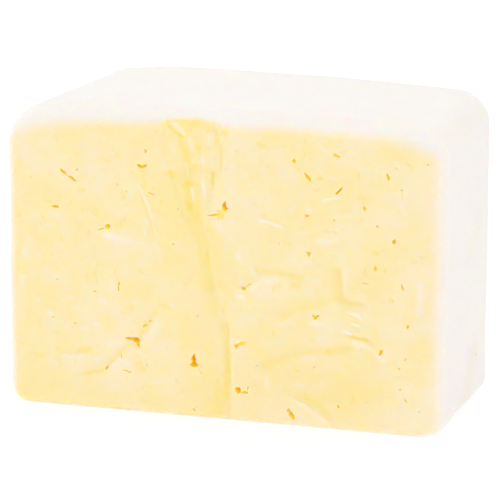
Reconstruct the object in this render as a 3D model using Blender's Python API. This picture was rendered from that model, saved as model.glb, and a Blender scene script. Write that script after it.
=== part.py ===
"""Block of pale cheddar with small curd openings, at its real size (metres, +Z up).

The block is one solid. Its front, towards -Y, is a fresh cut with openings, a crease down
the middle and a torn patch at the top. The other sides are the smooth outer skin. The
block rests on its flat underside at z = 0, and its box is centred on X and Y.
"""
import math
import random
from collections import namedtuple

import bmesh
import bpy
from mathutils import Matrix, Vector, noise
from mathutils.bvhtree import BVHTree

MM = 0.001

# Driving sizes: the square blank that the block is shaped from
LENGTH = 110 * MM
DEPTH = 49 * MM
HEIGHT = 75 * MM

# Rows of points: a strip along every edge is rounded, and its rows stand at these shares
STRIP = 6 * MM
STRIP_ROWS = (0, 0.27, 0.58, 0.85)
COARSE_PITCH = 7 * MM
FINE_SPLITS = 4
ROW_GAP = 0.1 * MM

# How far each corner is drawn from the square blank, by side, end and level, in mm
CORNER_SHIFT = {
    (-1, -1, -1): (-0.8, -1.0, 0),
    (-1, -1, 1): (-0.7, 0, -0.7),
    (-1, 1, -1): (4.5, 0.3, 0),
    (-1, 1, 1): (6.6, 0.9, 1.9),
    (1, -1, -1): (-0.1, 0.9, 0),
    (1, -1, 1): (-0.2, 0.1, -0.2),
    (1, 1, -1): (-0.2, -0.2, 0),
    (1, 1, 1): (0, -0.1, 1.9),
}

# Rounding of the edges that run back from the front, along X and Z, by corner, in mm
OUTLINE_RADIUS = {
    (-1, -1, -1): (4.6, 4.6),
    (-1, -1, 1): (8.5, 8.5),
    (-1, 1, -1): (5.5, 5.0),
    (-1, 1, 1): (10.0, 8.0),
    (1, -1, -1): (10.0, 3.8),
    (1, -1, 1): (4.6, 4.6),
    (1, 1, -1): (4.0, 3.0),
    (1, 1, 1): (9.0, 8.0),
}

# Rounding of the front and back rims. The top one is fuller and loses a share at the ends.
FRONT_RIM = 1.7 * MM
FRONT_RIM_TOP = 5.0 * MM
RIM_LOSS_AT_ENDS = 0.6
BACK_RIM = 6.5 * MM

# Swelling of the top, highest left of the middle, and of the front
TOP_DOME = 2.4 * MM
DOME_PEAK = -25 * MM
FRONT_BOW = 1.1 * MM

# The slow unevenness of the whole skin, which dies away over the lowest share of the height
UNEVENNESS = 0.35 * MM
UNEVEN_SPAN = 26 * MM
EVEN_FOOT = 0.25

# A face whose normal points forward past this limit belongs to the cut face, and the
# relief dies away over this depth behind it
FACES_FRONT = -0.7
FACE_REACH = 4 * MM

# A line of the cut face is drawn downwards or to the right through (x, z) points in mm.
# It sinks by depth mm, or stands out where that is negative, and dies away over reach mm
# on the side to its right or above it, and over back_reach mm on the other side.
Line = namedtuple("Line", "points depth reach back_reach")
FACE_LINES = (
    # Crease down the middle, a soft hollow whose right lip is sharp low down
    Line(((-8, 62), (-7.3, 55.8), (-5.2, 49.4), (-4.1, 44.3), (-2.9, 38.5), (-2.2, 34.5)), 0.45, 1.6, 3.2),
    Line(((-2.2, 34.5), (-0.6, 30.4), (0.8, 26), (1.8, 21.9), (2.1, 16.3), (2.1, 10.9), (1.7, -1)),
         0.8, 0.7, 6.0),
    # Thin ridge left of the crease
    Line(((-20.4, 57), (-18.9, 53.6), (-17.5, 48.6), (-16, 44.3), (-14.7, 38.7)), -0.35, 0.7, 0.7),
    # Torn patch at the top: its two ragged borders and the flakes between them
    Line(((-13.8, 75), (-14.9, 68.7), (-14.4, 63.9), (-11.7, 58), (-9, 50.8)), 0.45, 6.0, 0.8),
    Line(((-1.6, 76), (-0.7, 70.6), (0, 67.7), (0, 62.9), (-1.9, 59.9), (-2.4, 56)), 0.45, 0.6, 5.0),
    Line(((-12.8, 73.2), (-11, 72.3), (-9.6, 71.4)), -0.7, 0.9, 0.9),
    Line(((-7.4, 69.5), (-7.2, 67.6), (-6.4, 65.5)), -0.5, 0.8, 0.8),
    Line(((-9.6, 69.6), (-8.9, 68.2), (-7.9, 65)), 0.5, 0.8, 1.6),
    Line(((-13.4, 62.2), (-11.5, 62.6), (-9, 64), (-6.5, 64.4)), -0.45, 0.9, 0.9),
    Line(((-3.2, 71.6), (-3.1, 69.6), (-3.5, 68)), -0.45, 1.0, 1.0),
    Line(((-4.2, 60.2), (-4.1, 57.7), (-3.8, 55.4)), -0.45, 0.9, 0.9),
    Line(((-7.4, 58), (-7.1, 56.4), (-6.5, 54.4)), -0.5, 0.8, 0.8),
    Line(((-2, 62), (-1.9, 60.3), (-2.2, 58.8)), 0.5, 0.7, 0.9),
    # Fold at the lower left, with a lighter facet under it
    Line(((-35.4, 8.9), (-32.9, 9.8), (-29.9, 11), (-27.4, 14), (-25.9, 15.9), (-22.5, 17.6)), 0.5, 3.2, 0.8),
    Line(((-21.4, 17.8), (-19.6, 20.8), (-18.1, 23.7), (-16.1, 27.8)), 0.45, 3.0, 0.7),
    # Arch right of the middle, and the low dome under it
    Line(((5.5, 34.7), (7.8, 36.6), (9.8, 37.9), (13, 38.4), (17, 37.6)), 0.45, 2.4, 0.8),
    Line(((10.5, 33), (15, 33.5)), -0.4, 5.5, 5.5),
    # Steps and ridges at the lower right
    Line(((29.7, 39.5), (29.8, 35.2), (30.1, 33.6), (32.1, 32.5), (34.5, 32.4)), 0.5, 0.7, 2.6),
    Line(((15.6, 27.5), (19.9, 28.9), (25.3, 30.3), (28.5, 32)), -0.35, 1.3, 2.2),
    Line(((32.1, 24.2), (34, 23.7), (35.9, 23.8), (37.6, 22.6)), 0.6, 0.7, 1.6),
    Line(((10.2, 14.5), (13.4, 16), (18.4, 18.4), (22.7, 19.3), (26.7, 20.1), (31.3, 21.2)), 0.5, 2.6, 2.6),
    Line(((18.8, 7.1), (21.3, 6.2), (23.7, 4.5), (26.3, 2.8)), 0.5, 3.0, 0.6),
    # Crescent at the lower left
    Line(((-42.1, 14.6), (-40, 13.7), (-37.3, 14.2), (-35.2, 15.4)), 0.4, 1.8, 0.9),
)

# Soft dents of the right-hand skin: place along Y and Z, radius and depth in mm
SIDE_DENTS = (
    (8, 44, 8, 0.5),
    (1, 15, 9, 0.7),
    (-8, 2, 6, 0.9),
)

# Openings of the cut face. An opening lies at (x, z), turned by tilt degrees from the
# level, and a positive taper narrows its far end. All lengths are in mm.
Opening = namedtuple("Opening", "x z length width tilt depth taper")
OPENINGS = (
    Opening(-38.7, 58.6, 4.9, 1, -30, 2.2, -0.3),
    Opening(-42.7, 50.6, 2.4, 1.1, 0, 1.8, 0.2),
    Opening(-29.1, 46.5, 2.1, 1.4, -10, 1.8, -0.3),
    Opening(-20.0, 61.8, 2.6, 1.7, 0, 2.0, 0.2),
    Opening(-19.1, 65.9, 1.2, 0.8, -68, 1.2, 0),
    Opening(-11.4, 71.0, 4.0, 1.1, -38, 1.6, 0.3),
    Opening(0.6, 52.9, 4.2, 2, 77, 3.0, 0.1),
    Opening(-1.7, 51.4, 4.2, 1.4, -9, 2.4, -0.5),
    Opening(18.3, 65.9, 1.7, 1.2, 90, 1.4, 0.2),
    Opening(21.6, 62.3, 3.1, 1.2, -51, 1.8, -0.3),
    Opening(28.7, 67.8, 2.5, 0.9, -20, 1.2, 0),
    Opening(29.5, 59.5, 3.1, 1.1, 51, 1.6, 0.3),
    Opening(41.2, 63.6, 2.4, 1.1, -70, 1.5, -0.3),
    Opening(35.6, 55.6, 1.8, 1, -74, 1.3, 0),
    Opening(21.6, 52.9, 1.7, 1.1, -10, 1.2, 0.2),
    Opening(42.9, 48.0, 1.8, 1.3, 76, 1.5, 0.3),
    Opening(-26.0, 32.0, 2.6, 0.8, 81, 1.3, 0),
    Opening(-23.1, 18.3, 4.4, 2, -17, 3.0, -0.5),
    Opening(-19.0, 22.8, 3.1, 0.9, 41, 1.3, 0.2),
    Opening(-29.7, 10.8, 1.6, 0.9, 40, 1.3, 0),
    Opening(-6.9, 14.7, 3.5, 2.3, 92, 3.0, 0.65),
    Opening(6.5, 34.1, 2.7, 1.2, 35, 1.6, -0.2),
    Opening(4.8, 19.7, 3.0, 1.4, 36, 2.0, 0.4),
    Opening(4.9, 8.2, 4.0, 1.9, 6, 2.8, 0.3),
    Opening(22.1, 43.7, 1.7, 1.3, -9, 1.4, 0),
    Opening(38.4, 41.2, 1.6, 1, 90, 1.2, 0.2),
    Opening(45.0, 37.0, 2.1, 0.8, -73, 1.2, 0),
    Opening(23.7, 28.2, 2.0, 1.5, 0, 1.6, 0),
    Opening(46.4, 27.5, 1.4, 0.9, 90, 1.2, 0),
    Opening(39.9, 20.5, 2.0, 1.3, 59, 1.6, -0.3),
    Opening(46.0, 9.1, 1.8, 0.8, -55, 0.9, 0),
    Opening(29.4, 6.2, 1.5, 0.9, 90, 1.3, 0),
    Opening(17.6, 3.3, 3.3, 1.4, -55, 2.2, -0.2),
    Opening(-7.1, 2.2, 1.4, 1, -34, 1.2, 0),
    Opening(-25.8, 14.5, 2.4, 0.8, 95, 0.9, 0),
    Opening(-24.4, 10.5, 2.5, 0.8, -9, 0.9, 0),
)
LARGE_OPENING = 3 * MM
RAGGEDNESS = 0.22
SEED = 7


def smooth_fade(share):
    """1 at a share of 0, easing down to 0 at a share of 1 and past it."""
    share = min(max(share, 0), 1)
    return 1 - share * share * (3 - 2 * share)


def remove_scene_objects():
    for item in list(bpy.data.objects):
        bpy.data.objects.remove(item, do_unlink=True)


def make_material(name, colour, roughness):
    """A plain cheese finish; the colour is linear red, green and blue."""
    material = bpy.data.materials.new(name)
    material.use_nodes = True
    shader = material.node_tree.nodes["Principled BSDF"]
    shader.inputs["Base Color"].default_value = (*colour, 1)
    shader.inputs["Roughness"].default_value = roughness
    shader.inputs["Metallic"].default_value = 0
    material.diffuse_color = (*colour, 1)
    return material


def strip_places(half):
    """Places of the rounding rows on both sides of a length that is 2 half long."""
    places = [half - STRIP + share * STRIP for share in STRIP_ROWS]
    return [sign * place for sign in (-1, 1) for place in places]


def spaced_places(half, splits):
    """Even places between the two rounded strips of a length that is 2 half long."""
    inner = half - STRIP
    count = round(2 * inner / COARSE_PITCH) * splits
    return [-inner + 2 * inner * step / count for step in range(1, count)]


def cut_rows(mesh, axis, places, front_only=False):
    """Cuts rows of edges square to an axis, right round the blank or on its front alone."""
    normal = Vector((0, 0, 0))
    normal[axis] = 1
    for place in places:
        faces = [face for face in mesh.faces if not front_only or face.normal.y < FACES_FRONT]
        edges = {edge for face in faces for edge in face.edges}
        points = {point for face in faces for point in face.verts}
        bmesh.ops.bisect_plane(
            mesh, geom=[*points, *edges, *faces], dist=1e-6,
            plane_co=normal * place, plane_no=normal)


def make_blank():
    """The square blank, centred on the origin, with its front cut into finer rows."""
    mesh = bmesh.new()
    bmesh.ops.create_cube(mesh, size=1, matrix=Matrix.Diagonal((LENGTH, DEPTH, HEIGHT, 1)))
    for axis, size in enumerate((LENGTH, DEPTH, HEIGHT)):
        cut_rows(mesh, axis, strip_places(size / 2) + spaced_places(size / 2, 1))
    for axis, size in ((0, LENGTH), (2, HEIGHT)):
        coarse = spaced_places(size / 2, 1)
        fine = [place for place in spaced_places(size / 2, FINE_SPLITS)
                if min(abs(place - row) for row in coarse) > ROW_GAP]
        cut_rows(mesh, axis, fine, front_only=True)
    return mesh


def mix_corners(values, share):
    """Blends the values of the eight corners at shares of -1 to 1 along X, Y and Z."""
    total = Vector([0] * len(values[1, 1, 1]))
    for corner, value in values.items():
        weight = 1
        for sign, place in zip(corner, share):
            weight *= (1 + sign * place) / 2
        total += weight * Vector(value)
    return total * MM


def rim_radius(share, up):
    """Rounding of the front or back rim, where the outline there faces up by that much."""
    if share.y > 0:
        return BACK_RIM
    along_top = 1 - RIM_LOSS_AT_ENDS * abs(share.x) ** 4
    return FRONT_RIM + (FRONT_RIM_TOP - FRONT_RIM) * max(up, 0) * along_top


def round_point(point):
    """Where a point of the square blank lies once all the edges are rounded."""
    half = Vector((LENGTH, DEPTH, HEIGHT)) / 2
    share = Vector([point[axis] / half[axis] for axis in range(3)])
    sign = [math.copysign(1, place) for place in point]
    strip = [max((abs(point[axis]) - half[axis]) / STRIP + 1, 0) for axis in range(3)]
    radius = mix_corners(OUTLINE_RADIUS, share)
    radius = Vector((radius[0], 0, radius[1]))
    result = Vector(point)
    # The outline seen from the front: a point beyond the straight stretches follows an arc
    outward = max(strip[0], strip[2])
    across = math.hypot(strip[0], strip[2])
    direction = Vector((strip[0], 0, strip[2])) / across if across else Vector((1, 0, 0))
    mean_radius = radius.x * direction.x ** 2 + radius.z * direction.z ** 2
    rim = min(rim_radius(share, direction.z * sign[2]), mean_radius)
    # The rim: from the front face over the edge to the side, on a quarter circle
    inset = mean_radius * (1 - outward)
    over_edge = max(1 - inset / rim, 0)
    behind = 0
    if over_edge and strip[1]:
        length = math.hypot(over_edge, strip[1])
        inset = rim * (1 - over_edge / length)
        behind = rim * (1 - strip[1] / length)
    for axis in (0, 2):
        inner = min(abs(point[axis]), half[axis] - STRIP)
        inner *= (half[axis] - radius[axis]) / (half[axis] - STRIP)
        reach = radius[axis] * (1 - inset / mean_radius)
        result[axis] = sign[axis] * (inner + direction[axis] * reach)
    if strip[1]:
        result.y = sign[1] * (half.y - behind)
    else:
        result.y = point.y * (half.y - rim) / (half.y - STRIP)
    return result


def swell(point):
    """Top dome, front bow and slow unevenness, in the blank's own frame."""
    slope = LENGTH / 2 + math.copysign(DOME_PEAK, point.x - DOME_PEAK)
    dome = 1 - min(abs(point.x - DOME_PEAK) / slope, 1) ** 2
    level = max(0.5 + point.z / HEIGHT, 0)
    across = 1 - (2 * point.x / LENGTH) ** 2
    front = max(-2 * point.y / DEPTH, 0)
    lift = TOP_DOME * dome * level ** 2
    forward = FRONT_BOW * across * (1 - (2 * point.z / HEIGHT) ** 2) * front ** 2
    wander = noise.noise_vector(point / UNEVEN_SPAN) * UNEVENNESS * min(level / EVEN_FOOT, 1)
    return Vector((0, -forward, lift)) + wander


def line_depth(place, line):
    """How deep a line of the relief sinks the cut face at a place (x, z), all in mm."""
    nearest = None
    for start, end in zip(line.points, line.points[1:]):
        start, end = Vector(start), Vector(end)
        run = end - start
        share = min(max((place - start).dot(run) / run.length_squared, 0), 1)
        gap = place - (start + run * share)
        turn = run.x * gap.y - run.y * gap.x
        if nearest is None or gap.length < nearest[0]:
            nearest = (gap.length, line.reach if turn > 0 else line.back_reach)
    return line.depth * smooth_fade(nearest[0] / nearest[1])


def face_depth(point):
    """Depth of all the relief of the cut face at a point of it."""
    place = Vector((point.x, point.z)) / MM
    return sum(line_depth(place, line) for line in FACE_LINES) * MM


def dent_depth(point):
    """Depth of the soft dents of the right-hand skin at a point of it."""
    total = 0
    for along, up, radius, depth in SIDE_DENTS:
        away = math.hypot(point.y / MM - along, point.z / MM - up)
        total += depth * smooth_fade(away / radius)
    return total * MM


def shape_block(mesh):
    """Rounds, draws in, swells and dents the blank, and stands it on z = 0."""
    half = Vector((LENGTH, DEPTH, HEIGHT)) / 2
    for item in mesh.verts:
        rounded = round_point(item.co)
        share = [rounded[axis] / half[axis] for axis in range(3)]
        place = rounded + mix_corners(CORNER_SHIFT, share) + swell(rounded)
        place.z += half.z
        front = smooth_fade((rounded.y + half.y) / FACE_REACH)
        right = smooth_fade((half.x - rounded.x) / FACE_REACH)
        item.co = place + Vector((-dent_depth(place) * right, face_depth(place) * front, 0))


def make_cutter(opening, tree, index, material, collection):
    """A ragged lens with its middle on the cut face, which cuts one opening."""
    draw = random.Random(SEED + index)
    mesh = bmesh.new()
    rounds = 2 if opening.length * MM > LARGE_OPENING else 1
    bmesh.ops.create_icosphere(mesh, subdivisions=rounds, radius=1)
    size = Vector((opening.length / 2, opening.depth, opening.width / 2)) * MM
    for item in mesh.verts:
        ragged = 1 + draw.uniform(-RAGGEDNESS, RAGGEDNESS)
        narrowed = 1 - opening.taper * item.co.x
        item.co = Vector((item.co.x, item.co.y, item.co.z * narrowed)) * ragged
        item.co = Vector([item.co[axis] * size[axis] for axis in range(3)])
    hit = tree.ray_cast(Vector((opening.x * MM, -DEPTH, opening.z * MM)), Vector((0, 1, 0)))[0]
    turned = Matrix.Rotation(-math.radians(opening.tilt), 4, "Y")
    bmesh.ops.transform(mesh, matrix=Matrix.Translation(hit) @ turned, verts=mesh.verts)
    data = bpy.data.meshes.new(f"opening_cutter_{index}")
    mesh.to_mesh(data)
    mesh.free()
    data.materials.append(material)
    cutter = bpy.data.objects.new(data.name, data)
    cutter.hide_render = True
    cutter.display_type = "WIRE"
    collection.objects.link(cutter)


def centre_on_axes(mesh):
    """Moves the block so that its box is centred on X and Y and starts at z = 0."""
    low = Vector([min(item.co[axis] for item in mesh.verts) for axis in range(3)])
    high = Vector([max(item.co[axis] for item in mesh.verts) for axis in range(3)])
    middle = (low + high) / 2
    bmesh.ops.translate(mesh, vec=(-middle.x, -middle.y, -low.z), verts=mesh.verts)


def make_block(skin, cut_face, hollow, parts, cutters):
    """The block as one object, with its openings cut by a Boolean modifier."""
    mesh = make_blank()
    shape_block(mesh)
    centre_on_axes(mesh)
    bmesh.ops.triangulate(mesh, faces=mesh.faces)
    mesh.normal_update()
    for face in mesh.faces:
        face.smooth = True
        face.material_index = 1 if face.normal.y < FACES_FRONT else 0
    tree = BVHTree.FromBMesh(mesh)
    data = bpy.data.meshes.new("cheddar_block")
    mesh.to_mesh(data)
    mesh.free()
    for material in (skin, cut_face, hollow):
        data.materials.append(material)
    block = bpy.data.objects.new("cheddar_block", data)
    parts.objects.link(block)
    for index, opening in enumerate(OPENINGS):
        make_cutter(opening, tree, index, hollow, cutters)
    cut = block.modifiers.new("openings", "BOOLEAN")
    cut.operation = "DIFFERENCE"
    cut.operand_type = "COLLECTION"
    cut.collection = cutters
    cut.material_mode = "TRANSFER"
    return block


def main():
    remove_scene_objects()
    noise.seed_set(SEED)
    parts = bpy.data.collections.new("cheddar_block")
    cutters = bpy.data.collections.new("opening_cutters")
    for collection in (parts, cutters):
        bpy.context.scene.collection.children.link(collection)
    skin = make_material("cheddar_skin", (0.94, 0.90, 0.80), 0.45)
    cut_face = make_material("cheddar_cut_face", (0.97, 0.81, 0.45), 0.5)
    hollow = make_material("cheddar_hollow", (0.93, 0.55, 0.10), 0.5)
    make_block(skin, cut_face, hollow, parts, cutters)


main()
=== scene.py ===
import math
import random
from collections import namedtuple

import bpy
import numpy as np
from mathutils import Matrix, Vector, noise
from mathutils.bvhtree import BVHTree


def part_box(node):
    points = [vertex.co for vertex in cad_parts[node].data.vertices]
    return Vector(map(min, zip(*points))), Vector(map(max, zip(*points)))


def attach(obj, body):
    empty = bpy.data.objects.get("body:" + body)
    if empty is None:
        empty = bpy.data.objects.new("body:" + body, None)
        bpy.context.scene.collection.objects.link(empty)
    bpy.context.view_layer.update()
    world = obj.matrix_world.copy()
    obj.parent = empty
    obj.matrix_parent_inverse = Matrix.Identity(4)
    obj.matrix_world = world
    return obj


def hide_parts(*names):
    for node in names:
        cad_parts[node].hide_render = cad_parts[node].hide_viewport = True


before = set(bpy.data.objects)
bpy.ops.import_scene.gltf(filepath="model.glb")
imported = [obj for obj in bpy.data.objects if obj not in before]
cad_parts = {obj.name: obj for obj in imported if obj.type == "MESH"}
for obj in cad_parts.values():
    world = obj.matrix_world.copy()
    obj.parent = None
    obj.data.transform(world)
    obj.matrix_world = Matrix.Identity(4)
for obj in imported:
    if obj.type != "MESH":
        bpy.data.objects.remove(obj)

MM = 0.001

# Start of all random draws, and of the noise
SEED = 7

# The square blank that the block is shaped from, as in the solid
LENGTH = 110 * MM
DEPTH = 49 * MM
HEIGHT = 75 * MM
HALF = np.array((LENGTH, DEPTH, HEIGHT)) / 2

# Rows of the blank over each side, and how much closer they stand near the edges
ROW_COUNTS = (100, 44, 70)
ROW_CROWDING = 0.6

# The strip along the edges that is rounded, the part of it behind the front that is cut as
# fine as the front is, and the further cuts that these two get
STRIP = 6 * MM
FINE_REACH = 0.4 * STRIP
FRONT_CUTS = 2

# An edge runs along an axis when more than this share of its length does, and a length
# under TINY counts as nothing
ALONG = 0.99
TINY = 1e-9

# How far each corner is drawn from the square blank, by side, end and level, in mm
CORNER_SHIFT = {
    (-1, -1, -1): (-0.8, -1.0, 0),
    (-1, -1, 1): (-0.7, 0, -0.7),
    (-1, 1, -1): (4.5, 0.3, 0),
    (-1, 1, 1): (6.6, 0.9, 1.9),
    (1, -1, -1): (-0.1, 0.9, 0),
    (1, -1, 1): (-0.2, 0.1, -0.2),
    (1, 1, -1): (-0.2, -0.2, 0),
    (1, 1, 1): (0, -0.1, 1.9),
}

# Rounding of the edges that run back from the front, along X and Z, by corner, in mm
OUTLINE_RADIUS = {
    (-1, -1, -1): (4.6, 4.6),
    (-1, -1, 1): (8.5, 8.5),
    (-1, 1, -1): (5.5, 5.0),
    (-1, 1, 1): (10.0, 8.0),
    (1, -1, -1): (10.0, 3.8),
    (1, -1, 1): (4.6, 4.6),
    (1, 1, -1): (4.0, 3.0),
    (1, 1, 1): (9.0, 8.0),
}

# Rounding of the front and back rims. The front's is wider along the top, where it loses
# this share of what it gains towards the ends of the block.
FRONT_RIM = 1.7 * MM
FRONT_RIM_TOP = 5.0 * MM
RIM_LOSS = 0.6
RIM_LOSS_POWER = 4
BACK_RIM = 6.5 * MM

# Swelling of the top, highest left of the middle, and of the front
TOP_DOME = 2.4 * MM
DOME_PEAK = -25 * MM
FRONT_BOW = 1.1 * MM

# The slow unevenness of the whole skin, which dies away over this share of the height
# towards the foot
UNEVENNESS = 0.35 * MM
UNEVEN_SPAN = 26 * MM
EVEN_FOOT = 0.25

# The relief of the cut face dies away over this depth behind it
FACE_REACH = 4 * MM

# Share of the relief lines' depths that the block is given here, where painted shade and painted highlights
# in the colour stand in for the rest
RELIEF_SHARE = 0.6

# A line of the cut face is drawn downwards or to the right through (x, z) points in mm.
# It sinks by depth mm, or stands out where that is negative, and dies away over reach mm
# on the side to its right or above it, and over back_reach mm on the other side.
Line = namedtuple("Line", "points depth reach back_reach")
FACE_LINES = (
    # Crease down the middle, a soft hollow whose right lip is sharp low down
    Line(((-8, 62), (-7.3, 55.8), (-5.2, 49.4), (-4.1, 44.3), (-2.9, 38.5), (-2.2, 34.5)), 0.45, 1.6, 3.2),
    Line(((-2.2, 34.5), (-0.6, 30.4), (0.8, 26), (1.6, 22.9)), 0.4, 0.9, 4.0),
    Line(((1.6, 22.9), (2.1, 16.3), (2.1, 10.9), (1.7, -1)), 0.6, 0.7, 3.6),
    # Thin ridge left of the crease
    Line(((-20.4, 57), (-18.9, 53.6), (-17.5, 48.6), (-16, 44.3), (-14.7, 38.7)), -0.22, 0.8, 0.8),
    # Torn patch at the top: its two ragged borders and the flakes between them
    Line(((-13.8, 75), (-14.9, 68.7), (-14.4, 63.9), (-11.7, 58), (-9, 50.8)), 0.35, 6.0, 1.0),
    Line(((-1.6, 76), (-0.7, 70.6), (0, 67.7), (0, 62.9), (-1.9, 59.9), (-2.4, 56)), 0.35, 0.8, 5.0),
    Line(((-12.8, 73.2), (-11, 72.3), (-9.6, 71.4)), -0.35, 0.9, 0.9),
    Line(((-7.4, 69.5), (-7.2, 67.6), (-6.4, 65.5)), -0.25, 0.9, 0.9),
    Line(((-9.6, 69.6), (-8.9, 68.2), (-7.9, 65)), 0.3, 0.9, 2.0),
    Line(((-13.4, 62.2), (-11.5, 62.6), (-9, 64), (-6.5, 64.4)), -0.25, 1.1, 1.1),
    Line(((-3.2, 71.6), (-3.1, 69.6), (-3.5, 68)), -0.25, 1.0, 1.0),
    Line(((-4.2, 60.2), (-4.1, 57.7), (-3.8, 55.4)), -0.25, 0.9, 0.9),
    Line(((-7.4, 58), (-7.1, 56.4), (-6.5, 54.4)), -0.3, 0.8, 0.8),
    Line(((-2, 62), (-1.9, 60.3), (-2.2, 58.8)), 0.35, 0.7, 0.9),
    # Fold at the lower left, with a lighter facet under it
    Line(((-35.4, 8.9), (-32.9, 9.8), (-29.9, 11), (-27.4, 14), (-25.9, 15.9), (-22.5, 17.6)), 0.5, 3.2, 0.8),
    Line(((-21.4, 17.8), (-19.6, 20.8), (-18.1, 23.7), (-16.1, 27.8)), 0.35, 3.0, 0.8),
    # Arch right of the middle, and the low dome under it
    Line(((5.5, 34.7), (7.8, 36.6), (9.8, 37.9), (13, 38.4), (17, 37.6)), 0.4, 2.4, 1.2),
    Line(((10.5, 33), (15, 33.5)), -0.4, 5.5, 5.5),
    # Steps and ridges at the lower right
    Line(((29.7, 39.5), (29.8, 35.2), (30.1, 33.6), (32.1, 32.5), (34.5, 32.4)), 0.5, 0.7, 2.6),
    Line(((15.6, 27.5), (19.9, 28.9), (25.3, 30.3), (28.5, 32)), -0.2, 1.3, 2.2),
    Line(((32.1, 24.2), (34, 23.7), (35.9, 23.8), (37.6, 22.6)), 0.5, 0.8, 1.6),
    Line(((10.2, 14.5), (13.4, 16), (18.4, 18.4), (22.7, 19.3), (26.7, 20.1), (31.3, 21.2)), 0.35, 2.6, 2.6),
    Line(((18.8, 7.1), (21.3, 6.2), (23.7, 4.5), (26.3, 2.8)), 0.5, 3.0, 0.6),
    # Crescent at the lower left
    Line(((-42.1, 14.6), (-40, 13.7), (-37.3, 14.2), (-35.2, 15.4)), 0.3, 1.8, 0.9),
    # Small raised flakes, which the colour gives a painted highlight
    Line(((32.1, 29.9), (33.6, 29.5), (35.1, 28.7)), -0.35, 0.6, 0.6),
    Line(((32.6, 27.3), (34.6, 26.7)), -0.35, 0.6, 0.6),
    Line(((30.9, 25.4), (32.5, 24.6)), -0.4, 0.7, 0.7),
    Line(((9.8, 51.1), (12.5, 50.6), (15.5, 49.7)), -0.35, 0.6, 0.6),
    Line(((25.8, 57), (27.8, 57.6), (29.7, 57.9)), -0.35, 0.6, 0.6),
    Line(((3.9, 33.2), (5, 33.4)), -0.4, 1.1, 1.1),
)
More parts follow.
